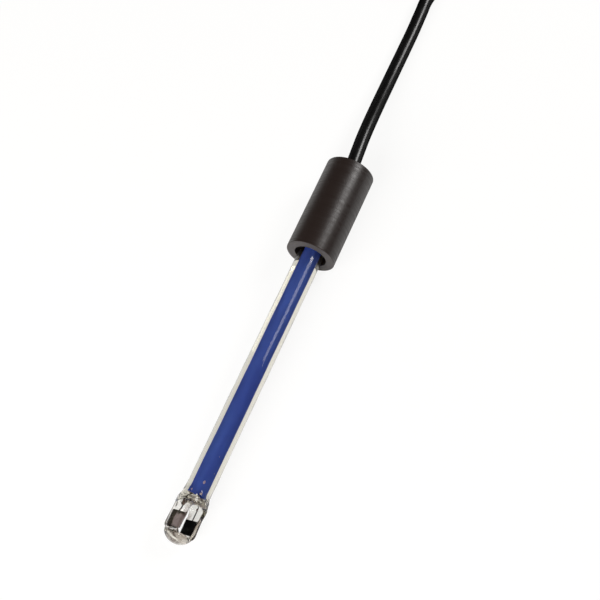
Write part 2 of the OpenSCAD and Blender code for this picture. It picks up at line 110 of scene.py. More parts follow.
# Materials
class Paint:
    """A node material round one Principled shader, with short calls for its parts."""

    def __init__(self, name, **sockets):
        self.mat = bpy.data.materials.new(name)
        self.mat.use_nodes = True
        self.nodes = self.mat.node_tree.nodes
        self.bsdf = self.nodes["Principled BSDF"]
        for key, value in sockets.items():
            self.bsdf.inputs[key.replace("_", " ")].default_value = value
        coords = self.nodes.new("ShaderNodeTexCoord")
        coords.object = axis_mark
        self.coords = coords.outputs["Object"]

    def wire(self, a, b):
        self.mat.node_tree.links.new(a, b)

    def axes(self):
        """The place on the cell as x, y and z, in metres."""
        split = self.nodes.new("ShaderNodeSeparateXYZ")
        self.wire(self.coords, split.inputs[0])
        return split.outputs["X"], split.outputs["Y"], split.outputs["Z"]

    def facing(self):
        """0 where the surface faces the camera, 1 where it turns away."""
        weight = self.nodes.new("ShaderNodeLayerWeight")
        weight.inputs["Blend"].default_value = 0.5
        return weight.outputs["Facing"]

    def stretched(self, scale):
        node = self.nodes.new("ShaderNodeMapping")
        node.inputs["Scale"].default_value = scale
        self.wire(self.coords, node.inputs["Vector"])
        return node.outputs["Vector"]

    def noise(self, scale, detail, stretch=None, rough=0.5):
        node = self.nodes.new("ShaderNodeTexNoise")
        node.inputs["Scale"].default_value = scale
        node.inputs["Detail"].default_value = detail
        node.inputs["Roughness"].default_value = rough
        self.wire(self.stretched(stretch) if stretch else self.coords, node.inputs["Vector"])
        return node.outputs["Fac"]

    def spread(self, value, low, high, out_low, out_high):
        node = self.nodes.new("ShaderNodeMapRange")
        node.inputs["From Min"].default_value = low
        node.inputs["From Max"].default_value = high
        node.inputs["To Min"].default_value = out_low
        node.inputs["To Max"].default_value = out_high
        self.wire(value, node.inputs["Value"])
        return node.outputs["Result"]

    def fade(self, value, ends):
        """0 at the first end and 1 at the second."""
        return self.spread(value, *ends, 0.0, 1.0)

    def ramp(self, value, *stops):
        node = self.nodes.new("ShaderNodeValToRGB")
        ramp = node.color_ramp
        while len(ramp.elements) < len(stops):
            ramp.elements.new(0.5)
        for element, (place, colour) in zip(ramp.elements, stops):
            element.position = place
            element.color = (*colour, 1)
        self.wire(value, node.inputs["Fac"])
        return node.outputs["Color"]

    def maths(self, kind, *values):
        node = self.nodes.new("ShaderNodeMath")
        node.operation = kind
        for value, socket in zip(values, node.inputs):
            if isinstance(value, float):
                socket.default_value = value
            else:
                self.wire(value, socket)
        return node.outputs["Value"]

    def vector_maths(self, kind, vector):
        """A dot product or distance, in metres, between the place on the cell and a vector."""
        node = self.nodes.new("ShaderNodeVectorMath")
        node.operation = kind
        self.wire(self.coords, node.inputs[0])
        node.inputs[1].default_value = vector
        return node.outputs["Value"]

    def times(self, a, b):
        return self.maths("MULTIPLY", a, b)

    def plus(self, a, b):
        return self.maths("ADD", a, b)

    def blend(self, share, a, b):
        node = self.nodes.new("ShaderNodeMix")
        node.data_type = "RGBA"
        for colour, socket in ((a, node.inputs[6]), (b, node.inputs[7])):
            if isinstance(colour, tuple):
                socket.default_value = colour
            else:
                self.wire(colour, socket)
        self.wire(share, node.inputs[0])
        return node.outputs[2]

    def set(self, socket, value):
        self.wire(value, self.bsdf.inputs[socket])

    def mottle(self, value, dark, pale, stops=(0.3, 0.7)):
        """A base colour that goes from one to the other as the value does between the stops."""
        self.set("Base Color", self.ramp(value, (stops[0], dark), (stops[1], pale)))

    def bump(self, height, strength, distance):
        node = self.nodes.new("ShaderNodeBump")
        node.inputs["Strength"].default_value = strength
        node.inputs["Distance"].default_value = distance
        self.wire(height, node.inputs["Height"])
        old = self.bsdf.inputs["Normal"].links
        if old:
            self.wire(old[0].from_socket, node.inputs["Normal"])
        self.wire(node.outputs["Normal"], self.bsdf.inputs["Normal"])


def grey(value):
    return (value, value, value)


# The glass head's colours, and its places in metres from the tip.
GLASS_CLEAR = (0.99, 0.985, 0.972, 1)
# Painted shade: the dark tint laid over the head's near side.
GLASS_PAINTED_SHADE = (0.085, 0.062, 0.058, 1)
GLASS_RIM = (0.36, 0.31, 0.29, 1)
# Painted shade: the dark tint for the head's edges.
GLASS_EDGE_SHADE = (0.20, 0.165, 0.15, 1)
GLASS_BODY, GLASS_DENSITY = (0.86, 0.83, 0.71, 1), 90
# Where the near side's painted shade lies, with two crescents kept clear of it as painted light and a spot
# of painted shade.
CAMERA_SIDE = (-0.758, -0.652, 0)
LONG_CRESCENT_WAY, LONG_CRESCENT_AT = (-0.377, -0.546, 0.748), 0.00354
SHORT_CRESCENT = (-0.0005, -0.00465, 0.0018)
SHADE_SPOT = (-0.0053, -0.0025, 0.0029)

# Where each look fades in, in metres: by height, and the last two by distance from y = 0 and by x.
DOME_FADE, HEAD_FADE, RIM_FADE = (0.0065, 0.0035), (0.026, 0.023), (0.0165, 0.015)
SEPTUM_LOW_FADE, SEPTUM_HIGH_FADE = (0.0165, 0.0185), (0.0255, 0.0225)
RIM_OUT_FADE, CRESCENT_LEFT_FADE = (0.0028, 0.0034), (-0.0015, -0.003)


def painted_shade_veil(p, x, z):
    """Painted shade for the head's near side: streaks in dome and septum, two crescents kept clear as
    painted light, and a dark spot of painted shade.
    """
    dome = p.fade(z, DOME_FADE)
    septum = p.times(p.fade(z, SEPTUM_LOW_FADE), p.fade(z, SEPTUM_HIGH_FADE))
    # The veil is painted shade: over the lower dome, and in streaks there and in the septum.
    streak = p.ramp(p.noise(330, 3, (1, 1, 0.7), 0.6), (0.46, grey(1)), (0.53, grey(0.12)))
    streaks = p.times(streak, p.plus(dome, p.times(septum, 0.7)))
    veil = p.plus(p.times(dome, 0.45), p.times(streaks, 0.55))
    off = p.maths("ABSOLUTE", p.plus(p.vector_maths("DOT_PRODUCT", LONG_CRESCENT_WAY), -LONG_CRESCENT_AT))
    long = p.times(p.spread(off, 0.0004, 0.0007, 1.0, 0.0), p.fade(x, CRESCENT_LEFT_FADE))
    short = p.spread(p.vector_maths("DISTANCE", SHORT_CRESCENT), 0.0007, 0.001, 1.0, 0.0)
    veil = p.times(veil, p.spread(p.plus(long, short), 0.0, 1.0, 1.0, 0.06))
    shade = p.spread(p.vector_maths("DISTANCE", SHADE_SPOT), 0.0012, 0.0023, 0.85, 0.0)
    near = p.fade(p.vector_maths("DOT_PRODUCT", CAMERA_SIDE), (-0.0005, 0.0005))
    return p.times(p.maths("MAXIMUM", veil, shade), near)


def clear_glass():
    """Clear glass, with brownish window rims in its flame-worked head, painted shade over the head's near
    side, and painted shade darkening the edges that turn from the camera.
    """
    p = Paint("clear_glass", Roughness=0.0, IOR=1.48, Transmission_Weight=1.0)
    x, y, z = p.axes()
    rim = p.times(p.fade(p.maths("ABSOLUTE", y), RIM_OUT_FADE), p.fade(z, RIM_FADE))
    grain = p.ramp(p.noise(600, 4, (1, 1, 0.6)), (0.35, grey(1)), (0.65, grey(0.6)))
    # Painted shade: the head's edges darken where they turn away from the camera.
    edge = p.times(p.spread(p.facing(), 0.66, 0.95, 0.0, 0.9), p.fade(z, HEAD_FADE))
    tint = p.blend(painted_shade_veil(p, x, z), GLASS_CLEAR, GLASS_PAINTED_SHADE)
    tint = p.blend(p.times(rim, grain), tint, GLASS_RIM)
    p.set("Base Color", p.blend(edge, tint, GLASS_EDGE_SHADE))
    p.bump(p.noise(260, 2), 0.12, 0.00006)
    volume = p.nodes.new("ShaderNodeVolumeAbsorption")
    volume.inputs["Color"].default_value = GLASS_BODY
    volume.inputs["Density"].default_value = GLASS_DENSITY
    p.wire(volume.outputs["Volume"], p.nodes["Material Output"].inputs["Volume"])
    return p.mat


def blue_resin():
    """Blue resin with long, faint streaks. It has no gloss of its own, as it wets the glass."""
    p = Paint("blue_resin", IOR=1.5, Specular_IOR_Level=0.0)
    p.mottle(p.noise(150, 3, (1, 1, 0.12)), (0.050, 0.088, 0.440), (0.066, 0.125, 0.500))
    p.set("Roughness", p.spread(p.noise(400, 2), 0.3, 0.7, 0.26, 0.4))
    p.bump(p.noise(500, 3), 0.2, 0.00005)
    return p.mat


def resin_skin():
    """The dull, bubbly skin under the resin."""
    p = Paint("resin_skin", Roughness=0.5)
    p.mottle(p.noise(900, 4), (0.30, 0.25, 0.28), (0.62, 0.56, 0.54), (0.35, 0.65))
    return p.mat


def collar_highlight():
    """Pale colour for the ring round the left lead: a painted highlight."""
    p = Paint("collar_highlight", Roughness=0.1)
    p.mottle(p.noise(500, 3), (0.55, 0.54, 0.50), (0.88, 0.88, 0.86), (0.35, 0.6))
    return p.mat


def septum_haze():
    """Cloudy, bubbly glass of the worked septum."""
    p = Paint("septum_haze", Roughness=0.4)
    p.set("Base Color", p.ramp(p.noise(800, 4), (0.38, (0.24, 0.19, 0.20)), (0.50, (0.47, 0.42, 0.38)),
                               (0.62, (0.74, 0.70, 0.60))))
    p.bump(p.noise(1500, 3), 0.3, 0.00005)
    return p.mat


def bubble():
    """The pinkish inside of a bubble in the resin."""
    p = Paint("bubble", Roughness=0.15)
    p.mottle(p.noise(900, 2), (0.38, 0.29, 0.34), (0.56, 0.45, 0.48))
    return p.mat


def platinum_black():
    """The velvety deposit on the plates."""
    p = Paint("platinum_black", Roughness=0.9, Specular_IOR_Level=0.08)
    p.mottle(p.noise(900, 5), grey(0.0015), (0.005, 0.0055, 0.006), (0.3, 0.75))
    p.bump(p.noise(4000, 4), 0.5, 0.00005)
    return p.mat


def plate_back():
    """Bare metal behind a plate, with painted shade darkening one side, and darker towards the upper edge.
    """
    p = Paint("plate_back", Metallic=0.3, Roughness=0.5)
    x, y, z = p.axes()
    # Painted shade: one side of each back is darkened, by where it lies round the axis.
    side = p.spread(p.times(x, y), -3.0e-6, -6.0e-6, 0.0, 1.0)
    high = p.spread(z, 0.0102, 0.0118, 0.0, 0.75)
    shade_and_unevenness = p.plus(p.plus(side, high), p.spread(p.noise(700, 4), 0.3, 0.7, -0.35, 0.35))
    p.set("Base Color", p.ramp(shade_and_unevenness, (0.15, (0.40, 0.335, 0.345)),
                               (0.45, (0.27, 0.22, 0.21)), (0.85, (0.048, 0.038, 0.027))))
    p.bump(p.noise(2500, 3), 0.2, 0.00003)
    return p.mat


def weld():
    p = Paint("weld", Metallic=1.0, Roughness=0.38)
    p.mottle(p.noise(900, 3), (0.62, 0.58, 0.50), (0.85, 0.81, 0.72))
    return p.mat


def seal_shade():
    """A dark brown bead round each lead, coloured as painted shade."""
    p = Paint("seal_shade", Roughness=0.08)
    p.mottle(p.noise(500, 3), (0.05, 0.03, 0.02), (0.17, 0.12, 0.095))
    return p.mat


def platinum():
    """Drawn wire, coloured dark as painted shade, the way it looks in the head's uneven glass."""
    p = Paint("platinum", Metallic=1.0, Roughness=0.3)
    # Painted shade: the wire's dark base colour.
    p.mottle(p.noise(700, 3), (0.035, 0.03, 0.028), (0.09, 0.08, 0.075))
    p.bump(p.noise(3000, 2, (1, 1, 0.05)), 0.2, 0.00002)
    return p.mat


def crimp_metal():
    p = Paint("crimp_metal", Metallic=1.0, Roughness=0.35)
    p.mottle(p.noise(600, 3), (0.5, 0.49, 0.47), (0.68, 0.67, 0.65))
    return p.mat


def core(name, dark, pale):
    """Insulation of one of the cable's cores."""
    p = Paint(name, Roughness=0.35)
    p.mottle(p.noise(300, 3), dark, pale)
    return p.mat


def turned_plastic():
    """Black plastic with fine marks round the axis, duller where it turns away."""
    p = Paint("turned_plastic")
    marks = p.noise(1.0, 3, (12, 12, 3000), 0.7)
    bands = p.noise(1.0, 2, (6, 6, 1250), 0.6)
    p.mottle(marks, (0.0135, 0.0085, 0.0070), (0.0200, 0.0130, 0.0110), (0.3, 0.75))
    p.set("Roughness", p.spread(bands, 0.42, 0.58, 0.30, 0.475))
    p.set("Specular IOR Level", p.spread(p.facing(), 0.60, 0.85, 0.5, 0.08))
    p.bump(marks, 0.8, 0.00003)
    p.bump(bands, 0.8, 0.00006)
    return p.mat


def faced_and_lit_plastic():
    """The faced ends of the cap: the same plastic, left duller by the tool, and painted paler to stand in
    for the white floor's reflection.
    """
    p = Paint("faced_and_lit_plastic", Roughness=0.55, Specular_IOR_Level=0.5)
    # Partly painted light: the paler colour stands in for the floor's reflection.
    p.mottle(p.noise(1500, 4), (0.050, 0.044, 0.042), (0.078, 0.070, 0.068))
    p.bump(p.noise(2500, 3), 0.4, 0.00003)
    return p.mat


def dull_rubber(name, dark, pale, scale):
    p = Paint(name, Roughness=0.7, Specular_IOR_Level=0.4)
    p.mottle(p.noise(scale, 4), grey(dark), grey(pale))
    p.bump(p.noise(scale * 6, 3), 0.35, 0.00004)
    return p.mat


def cement():
    p = Paint("cement", Roughness=0.6)
    p.mottle(p.noise(400, 4), (0.36, 0.32, 0.24), (0.5, 0.46, 0.36))
    p.bump(p.noise(1200, 3), 0.4, 0.00006)
    return p.mat


def cable_jacket():
    """Smooth black jacket, glossy along its top and dull down its sides."""
    p = Paint("cable_jacket")
    p.mottle(p.noise(120, 3), grey(0.0016), grey(0.0032))
    facing = p.facing()
    p.set("Roughness", p.plus(p.spread(p.noise(260, 3), 0.3, 0.7, 0.26, 0.35),
                              p.spread(facing, 0.35, 0.8, 0.0, 0.68)))
    p.set("Specular IOR Level", p.spread(facing, 0.19, 0.46, 0.62, 0.04))
    p.bump(p.noise(180, 3), 0.12, 0.0002)
    return p.mat


def moulded(name, dark, pale, rough):
    p = Paint(name)
    p.mottle(p.noise(500, 3), grey(dark), grey(pale))
    p.set("Roughness", p.spread(p.noise(300, 3), 0.3, 0.7, rough - 0.06, rough + 0.08))
    p.bump(p.noise(2500, 3), 0.3, 0.00003)
    return p.mat


def plated(name, dark, pale):
    p = Paint(name, Metallic=1.0)
    p.mottle(p.noise(260, 4), dark, pale)
    p.set("Roughness", p.spread(p.noise(500, 4), 0.3, 0.7, 0.18, 0.34))
    return p.mat


def floor_white():
    """White paper: seen as white with a faint shadow, darker through glass and in reflections."""
    p = Paint("floor_white", Base_Color=(0.8, 0.8, 0.79, 1), Roughness=0.9, Specular_IOR_Level=0.0)
    path = p.nodes.new("ShaderNodeLightPath").outputs
    last = p.bsdf.outputs["BSDF"]
    for ray, lit, glow in (("Is Glossy Ray", 0.50, 0.42), ("Is Transmission Ray", 0.24, 0.70),
                           ("Is Camera Ray", 0.12, 0.88)):
        seen = p.nodes.new("ShaderNodeBsdfDiffuse")
        seen.inputs["Color"].default_value = (*grey(lit), 1)
        emit = p.nodes.new("ShaderNodeEmission")
        emit.inputs["Color"].default_value = (1.0, 0.997, 0.99, 1)
        emit.inputs["Strength"].default_value = glow
        both = p.nodes.new("ShaderNodeAddShader")
        mix = p.nodes.new("ShaderNodeMixShader")
        p.wire(seen.outputs["BSDF"], both.inputs[0])
        p.wire(emit.outputs["Emission"], both.inputs[1])
        p.wire(path[ray], mix.inputs[0])
        p.wire(last, mix.inputs[1])
        p.wire(both.outputs["Shader"], mix.inputs[2])
        last = mix.outputs["Shader"]
    p.wire(last, p.nodes["Material Output"].inputs["Surface"])
    return p.mat


MATS = {
    "clear_glass": clear_glass(),
    "platinum_black": platinum_black(),
    "platinum": platinum(),
    "crimp_metal": crimp_metal(),
    "core_red": core("core_red", (0.42, 0.03, 0.025), (0.6, 0.06, 0.04)),
    "core_white": core("core_white", (0.7, 0.69, 0.64), (0.82, 0.81, 0.77)),
    "blue_resin": blue_resin(),
    "turned_plastic": turned_plastic(),
    "seal_rubber": dull_rubber("seal_rubber", 0.006, 0.012, 300),
    "cement": cement(),
    "cable_jacket": cable_jacket(),
    "tie_plastic": moulded("tie_plastic", 0.014, 0.024, 0.4),
    "boot_rubber": dull_rubber("boot_rubber", 0.012, 0.02, 250),
    "plug_plastic": moulded("plug_plastic", 0.012, 0.02, 0.5),
    "plug_metal": plated("plug_metal", (0.52, 0.51, 0.48), (0.66, 0.65, 0.62)),
    "insert_plastic": moulded("insert_plastic", 0.016, 0.03, 0.45),
    "pin_metal": plated("pin_metal", (0.62, 0.52, 0.3), (0.74, 0.64, 0.42)),
}
BUBBLE = bubble()
HAZE = septum_haze()
COLLAR_HIGHLIGHT = collar_highlight()
SKIN = resin_skin()
PLATE_BACK = plate_back()
WELD = weld()
SEAL_SHADE = seal_shade()
FACED_AND_LIT = faced_and_lit_plastic()


# Mesh helpers: sizes in millimetres along the cell's axis, laid down at the end.
def new_mesh(name, verts, faces, slot, sharp, place=LAY, mat=None):
    mesh = bpy.data.meshes.new(name)
    mesh.from_pydata([Vector(v) * MM for v in verts], [], faces)
    work = bmesh.new()
    work.from_mesh(mesh)
    bmesh.ops.remove_doubles(work, verts=work.verts, dist=1e-7)
    bmesh.ops.dissolve_degenerate(work, edges=work.edges, dist=1e-8)
    bmesh.ops.recalc_face_normals(work, faces=work.faces)
    work.to_mesh(mesh)
    work.free()
    for polygon in mesh.polygons:
        polygon.use_smooth = True
    mesh.set_sharp_from_angle(angle=radians(sharp))
    mesh.materials.append(mat or MATS[slot])
    mesh.transform(place)
    obj = link(bpy.data.objects.new(name, mesh))
    bpy.context.view_layer.update()
    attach(obj, "root")
    return obj


def second_material(obj, mat, chosen):
    """Gives another material to the faces chosen by their place and direction on the cell."""
    obj.data.materials.append(mat)
    to_cell = LAY.inverted() @ obj.matrix_world
    for polygon in obj.data.polygons:
        place = to_cell @ polygon.center / MM
        way = (to_cell.to_3x3() @ polygon.normal).normalized()
        if chosen(place, way):
            polygon.material_index = 1


class Rings:
    """Rings of points, each joined to the one before it by quads."""

    def __init__(self, verts=(), faces=()):
        self.verts, self.faces, self.last = list(verts), list(faces), None

    def add(self, points):
        start = len(self.verts)
        self.verts.extend(points)
        self.join(range(start, len(self.verts)))

    def join(self, ring):
        """Joins the last ring to one whose points are there already."""
        if self.last is not None:
            for k in range(len(ring)):
                m = (k + 1) % len(ring)
                self.faces.append((self.last[k], self.last[m], ring[m], ring[k]))
        self.last = ring

    def close(self):
        """Joins the last ring to the first points of all."""
        self.join(range(len(self.last)))

    def add_ball(self, rows, columns, place):
        """A closed round body, whose points are given by latitude and longitude."""
        self.last = None
        for i in range(rows + 1):
            self.add([place(pi * i / rows, lon) for lon in angles(columns)])


def angles(count):
    return [2 * pi * k / count for k in range(count)]


def quarter(steps):
    """Angles that go on from 0 up to a right angle."""
    return [pi / 2 * i / steps for i in range(1, steps + 1)]


def circle(r, z, turns):
    return [(r * cos(a), r * sin(a), z) for a in turns]


def ease(x):
    """A smooth step from 0 to 1."""
    x = min(1, max(0, x))
    return x * x * (3 - 2 * x)


def share(t, low, high):
    """How much of the way from low to high t has come."""
    return (t - low) / (high - low)


def towards(a, way):
    """1 at one angle round the axis, 0 opposite it."""
    return (1 + cos(a - way)) / 2


def rounded(points, radii, steps):
    """A closed outline with each corner replaced by a small arc."""
    out = []
    for i, (p, radius) in enumerate(zip(points, radii)):
        corner = Vector(p)
        back = Vector(points[i - 1]) - corner
        on = Vector(points[(i + 1) % len(points)]) - corner
        r = min(radius, back.length * 0.45, on.length * 0.45)
        start, end = corner + back.normalized() * r, corner + on.normalized() * r
        for k in range(steps + 1):
            t = k / steps
            out.append(tuple((1 - t) ** 2 * start + 2 * t * (1 - t) * corner + t * t * end))
    return out


def shake(p, scale, amount):
    """A noise vector for a place, flatter along the axis."""
    q = Vector(p) * scale
    return amount * Vector(
        (noise.noise(q), noise.noise(q + Vector((9, 3, 5))), 0.6 * noise.noise(q + Vector((2, 8, 1))))
    )


# The cage head and the stem: one piece of glass, with flame-rounded windows.
SHOULDER_LOW, SHOULDER_LEN = 16.0, 8.0
CHAMBER_R, FLOOR_Z, FLOOR_R = 5.55, 3.8, 2.0
CEIL_Z, CEIL_R = 19.2, 3.2
WALL_LEN = CEIL_Z - CEIL_R - FLOOR_Z - FLOOR_R
SEPTUM_LOW, SEPTUM_HIGH = 16.5, 25.5
BORE_R, BORE_LOW, BORE_ROUND = 2.65, 21.6, 22.6
BORE_ROWS = [150, 120, 90, 74, 60, 50, 40, 32, 28]
TOP_EDGE = 0.3
STEM_ROWS = [24.6, 25.5, 27, 30] + [30 + 6 * i for i in range(1, 25)] + [GLASS_TOP - TOP_EDGE]
HEAD_WOBBLE, STEM_WOBBLE, WOBBLE_Z = 0.16, 0.1, 26

# The pads of glass that join the arms to the plates' backs, on the X axis.
PLATE_OUT = 4.543
PAD_OUT, PAD_HALF, PAD_LOW, PAD_HIGH = PLATE_OUT - 0.02, 3.9, 4.6, 13.6

# Where the parts of both outlines end, as shares of the way from pole to shoulder or ceiling.
DOME_END = 0.32
FLAT_END, FLOOR_END, WALL_END, CEIL_END = 0.2, 0.32, 0.68, 0.9

# The far window is side 0, on local +Y, and the near one side 1. The arms are on the X axis.
# A window's edge is a superellipse, with one power above and one below, and rows crowd towards it.
WINDOW_HALF, WINDOW_SILLS, WINDOW_HIGH = radians(63), (0.195, 0.165), 0.80
HIGH_POWER, SILL_POWER, CROWD = 3.0, 8.0, 1.25
WINDOW_COLUMNS, WINDOW_ROWS, RIM_STEPS = 128, 22, 12


def outer_at(t):
    """Outside of the glass: 0 at the tip's pole, 1 at the top of the shoulder."""
    if t < DOME_END:
        a = share(t, 0, DOME_END) * pi / 2
        return HEAD_R * sin(a), HEAD_R * (1 - cos(a))
    z = HEAD_R + share(t, DOME_END, 1) * (SHOULDER_LOW + SHOULDER_LEN - HEAD_R)
    if z < SHOULDER_LOW:
        return HEAD_R, z
    a = pi * (z - SHOULDER_LOW) / SHOULDER_LEN
    return STEM_R + (HEAD_R - STEM_R) * (1 + cos(a)) / 2, z


def inner_at(t):
    """Inside of the chamber: 0 at the floor's middle, 1 at the ceiling's pole."""
    if t < FLAT_END:
        return (CHAMBER_R - FLOOR_R) * share(t, 0, FLAT_END), FLOOR_Z
    if t < FLOOR_END:
        a = share(t, FLAT_END, FLOOR_END) * pi / 2
        return CHAMBER_R - FLOOR_R + FLOOR_R * sin(a), FLOOR_Z + FLOOR_R * (1 - cos(a))
    if t < WALL_END:
        return CHAMBER_R, FLOOR_Z + FLOOR_R + share(t, FLOOR_END, WALL_END) * WALL_LEN
    if t < CEIL_END:
        a = share(t, WALL_END, CEIL_END) * pi / 2
        return CHAMBER_R - CEIL_R + CEIL_R * cos(a), CEIL_Z - CEIL_R + CEIL_R * sin(a)
    return (CHAMBER_R - CEIL_R) * share(t, 1, CEIL_END), CEIL_Z


def on_surface(profile, theta, t):
    r, z = profile(t)
    return Vector((r * cos(theta), r * sin(theta), z))


def bore_at(a, z):
    """The bore, drawn a little narrower on one side further up the stem."""
    return BORE_R - 0.14 * ease((z - 24) / 50) * towards(a, radians(131))


def wobble(p, amount):
    """A slow, small unevenness, as hand-blown glass has, and lumps where the septum was worked."""
    lumps = 0.3 * ease((p[2] - SEPTUM_LOW) / 2.5) * ease((SEPTUM_HIGH - p[2]) / 2.5)
    return tuple(Vector(p) + shake(p, 0.16, amount) + shake(p, 0.55, lumps))


def fused(p):
    """The inside of the chamber: fused flat to the plates' backs, and lumpy in its floor and ceiling."""
    near = ease((PAD_HALF - abs(p.y)) / 0.7) * ease(p.z - PAD_LOW) * ease(PAD_HIGH - p.z)
    if abs(p.x) > PLATE_OUT:
        x = PAD_OUT * (1 if p.x > 0 else -1)
        p = Vector((p.x + (x - p.x) * near, p.y, p.z))
    lumps = 0.25 * ease((p.z - SEPTUM_LOW) / 1.5) + 0.45 * ease((5.6 - p.z) / 1.2)
    return p + shake(p, 0.8, lumps)


def window_column(side, turn):
    """A column of a side, from border over window rim to the inside, and if its border is on top."""
    right, up = cos(turn), sin(turn)
    power = 2 / (HIGH_POWER if up > 0 else SILL_POWER)
    low, high = WINDOW_SILLS[side], WINDOW_HIGH
    edge_turn = WINDOW_HALF * abs(right) ** power * (1 if right >= 0 else -1)
    edge_t = (low + high) / 2 + (high - low) / 2 * abs(up) ** power * (1 if up >= 0 else -1)
    big = max(abs(right), abs(up))
    border_turn, border_t = pi / 2 * right / big, 0.5 + 0.5 * up / big
    outer, inner = [], []
    for j in range(WINDOW_ROWS + 1):
        g = (j / WINDOW_ROWS) ** CROWD
        theta = pi / 2 + side * pi + edge_turn + (border_turn - edge_turn) * g
        t = edge_t + (border_t - edge_t) * g
        outer.append(on_surface(outer_at, theta, t))
        inner.append(fused(on_surface(inner_at, theta, t)))
    return outer[::-1] + rim(outer, inner) + inner, border_t > 1 - 1e-9


def rim(outer, inner):
    """The rounded edge between the first points of an outer and an inner row."""
    a, b = outer[0], inner[0]
    across = (a - b) / 2
    lead = (a - outer[1]).normalized() + (b - inner[1]).normalized()
    lead = (lead - lead.project(across)).normalized() * across.length
    steps = [pi * m / RIM_STEPS for m in range(1, RIM_STEPS)]
    return [(a + b) / 2 + across * cos(step) + lead * sin(step) for step in steps]


def cage():
    """The glass up to the shoulder, as points, faces and the places of its upper edge's points."""
    verts, faces, top = [], [], []
    for side in (0, 1):
        base = len(verts)
        for turn in angles(WINDOW_COLUMNS):
            column, at_top = window_column(side, turn)
            if at_top:
                top.append(len(verts))
            verts.extend(wobble(v, HEAD_WOBBLE) for v in column)
        rows = len(column)
        for k in range(WINDOW_COLUMNS):
            here, there = base + k * rows, base + (k + 1) % WINDOW_COLUMNS * rows
            for j in range(rows - 1):
                faces.append((here + j, there + j, there + j + 1, here + j + 1))
    return verts, faces, top


def in_order(verts, places):
    """Pairs of angle and place in order round the axis, each once where both sides have a point."""
    def turn(i):
        return atan2(verts[i][1], verts[i][0])

    ring = []
    for i in sorted(places, key=turn):
        a = round(turn(i), 5)
        if not ring or abs(a - ring[-1][0]) > 1e-4:
            ring.append((a, i))
    if abs(ring[0][0] + 2 * pi - ring[-1][0]) < 1e-4:
        ring.pop()
    return ring


def glass():
    verts, faces, top = cage()
    ring = in_order(verts, top)
    turns = [a for a, _ in ring]
    stem = Rings(verts, faces)
    stem.join([i for _, i in ring])
    for z in STEM_ROWS:
        amount = HEAD_WOBBLE if z < WOBBLE_Z else STEM_WOBBLE
        stem.add([wobble(v, amount) for v in circle(STEM_R, z, turns)])
    for r in (STEM_R - TOP_EDGE, BORE_R + 0.2):
        stem.add(circle(r, GLASS_TOP, turns))
    for z in [GLASS_TOP - TOP_EDGE] + BORE_ROWS + [24, BORE_ROUND]:
        stem.add([(bore_at(a, z) * cos(a), bore_at(a, z) * sin(a), z) for a in turns])
    for b in quarter(6):
        stem.add(circle(BORE_R * cos(b), BORE_ROUND - (BORE_ROUND - BORE_LOW) * sin(b), turns))
    obj = new_mesh("glass_head_and_stem", stem.verts, stem.faces, "clear_glass", 80)
    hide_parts("glass_body")


glass()

# The resin wets the bore: it reaches a little into the glass all round, and ends raggedly.
RESIN_SINK = 0.02
RESIN_R, RESIN_HEAD_R, RESIN_SEAT = BORE_R + RESIN_SINK, JOINT_R - SEAT_GAP, JOINT_LOW + SEAT_GAP
RESIN_END, RAGGED_BELOW, RESIN_TIP = 22.3, 24, 1.15
BULGE_WAY, LOW_WAY, LOW_DROP = 2.2, radians(-60), 1.25


def ragged(a, level):
    """How far the resin's end lies above its mean at an angle, and the fine part of it."""
    coarse = noise.noise(Vector((1.7 * cos(a), 1.7 * sin(a), 3.1)))
    fine = noise.noise(Vector((6 * cos(a), 6 * sin(a), level)))
    return 0.9 * coarse + 0.25 * fine - LOW_DROP * towards(a, LOW_WAY), fine


def resin():
    turns = angles(96)
    column = Rings()
    for r, z in ((RESIN_HEAD_R, RESIN_TOP), (RESIN_HEAD_R, RESIN_SEAT), (RESIN_R, RESIN_SEAT)):
        column.add(circle(r, z, turns))
    for z in [GLASS_TOP - TOP_EDGE] + BORE_ROWS + [26, 24.6, 23.6, 22.9, RESIN_END]:
        sway = max(0, (RAGGED_BELOW - z) / 2)
        points = []
        for a in turns:
            depth, fine = ragged(a, z * 1.3)
            bulge = 0.12 * sway * towards(a, BULGE_WAY)
            r = bore_at(a, z) + RESIN_SINK + (0.03 * fine + bulge) * min(1, sway)
            points.append((r * cos(a), r * sin(a), z + sway * depth))
        column.add(points)
    sway = (RAGGED_BELOW - RESIN_END) / 2
    for b in quarter(6):
        points = []
        for a in turns:
            depth, fine = ragged(a, 28.0)
            r = (RESIN_R + 0.1 * towards(a, BULGE_WAY) + 0.03 * fine) * cos(b)
            points.append((r * cos(a), r * sin(a), RESIN_END + cos(b) * sway * depth - RESIN_TIP * sin(b)))
        column.add(points)
    column.faces.append(tuple(range(len(turns))))
    obj = new_mesh("resin_column", column.verts, column.faces, "blue_resin", 50)
    second_material(obj, SKIN, lambda place, way: way.z < -0.45)
    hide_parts("resin_fill")


resin()


def bubbles():
    """Small flat bubbles caught between the resin and the glass."""
    body = Rings()
    # angle round the axis in degrees, height, half width, half height
    for turn, z, w, h in ((-127.5, 28.0, 0.42, 0.75), (-111.5, 22.9, 0.5, 0.6), (161.3, 23.2, 0.36, 0.5),
                          (-80, 33.5, 0.14, 0.2), (-105, 41.0, 0.12, 0.16)):
        def place(lat, lon):
            r = BORE_R + 0.03 + 0.07 * sin(lat) * sin(lon)
            a = radians(turn) + w * sin(lat) * cos(lon) / r
            return r * cos(a), r * sin(a), z + h * cos(lat) * (1 + 0.15 * sin(lon))

        body.add_ball(8, 14, place)
    new_mesh("resin_bubbles", body.verts, body.faces, "blue_resin", 80, mat=BUBBLE)


bubbles()


COLLAR_X, COLLAR_Y, COLLAR_Z, COLLAR_R = -4.55, 0.1, 18.4, 1.15


